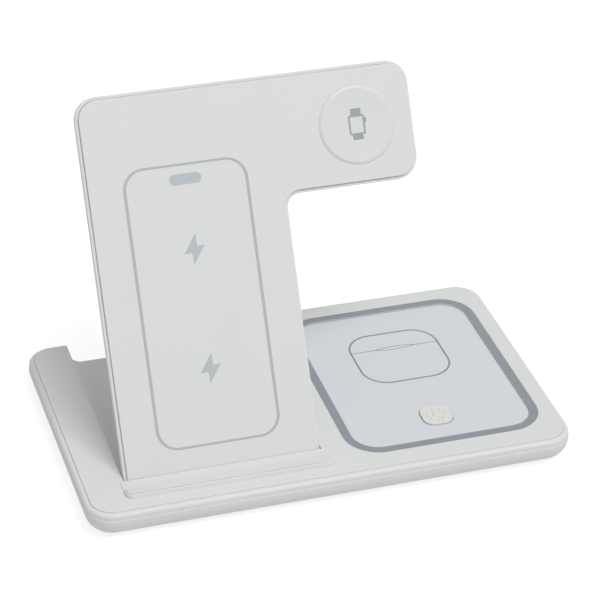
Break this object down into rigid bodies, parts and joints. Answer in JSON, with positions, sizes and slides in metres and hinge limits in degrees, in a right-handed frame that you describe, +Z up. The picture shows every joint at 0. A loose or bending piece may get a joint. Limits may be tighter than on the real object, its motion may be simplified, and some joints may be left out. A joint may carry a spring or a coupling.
{
  "type": "wireless charging station",
  "caption": "Low white base with a light-ringed earbud pad and touch key, and a hinged L-shaped panel that leans back to hold a phone and a watch and folds flat into the base.",
  "frame": {"origin": "middle of the base's footprint, on the floor under the rubber feet", "axes": "+X to the right along the base's long side, +Y to the back where the panel folds, +Z up"},
  "size_m": [0.18, 0.109, 0.1277],
  "materials": {
    "shell_white": "fine satin moulded",
    "face_white": "smooth satin moulded",
    "puck_white": "smooth semi-gloss",
    "ring_grey": "milky translucent",
    "pad_white": "smooth satin",
    "key_white": "satin with raised dots",
    "switch_black": "moulded",
    "coil_copper": "enamelled wire",
    "ferrite_dark": "sintered",
    "magnet_plated": "plated",
    "board_green": "laminated board",
    "lamp_white": "clear cast",
    "pivot_brass": "turned",
    "bush_plastic": "moulded",
    "steel": "zinc plated",
    "foot_rubber": "matt"
  },
  "bodies": {
    "base": {"base_lower_shell": "shell_white", "base_top_cover": "shell_white", "phone_rest": "shell_white", "light_ring": "ring_grey", "earbud_pad": "pad_white", "key_switch": "switch_black", "earbud_coil": "coil_copper", "earbud_ferrite": "ferrite_dark", "light_board": "board_green", "main_board": "board_green", "light_leds": "lamp_white", "hinge_pivot": "pivot_brass", "rubber_feet": "foot_rubber", "hinge_bracket": "steel", "bracket_screws": "steel", "base_screws": "steel", "board_screws": "steel", "usb_c_socket": "steel"},
    "panel": {"panel_rear_shell": "shell_white", "panel_front_plate": "face_white", "watch_puck": "puck_white", "watch_coil": "coil_copper", "watch_ferrite": "ferrite_dark", "watch_magnet": "magnet_plated", "upper_phone_coil": "coil_copper", "lower_phone_coil": "coil_copper", "phone_ferrite": "ferrite_dark", "panel_board": "board_green", "panel_board_screws": "steel", "hinge_shaft": "steel", "friction_washers": "steel", "hinge_nut": "steel", "hinge_bush": "bush_plastic"},
    "key": {"key_cap": "key_white", "key_plunger": "switch_black"}
  },
  "joints": [
    {"name": "panel_fold", "type": "hinge", "parent": "base", "child": "panel", "pos_m": [0, -0.0341, 0.008], "axis": [1, 0, 0], "range_deg": [-60, 0]},
    {"name": "key_press", "type": "slide", "parent": "base", "child": "key", "axis": [0, 0, -1], "range_m": [0, 0.0005], "stiffness_N_per_m": 1500, "springref_m": -0.0004}
  ]
}
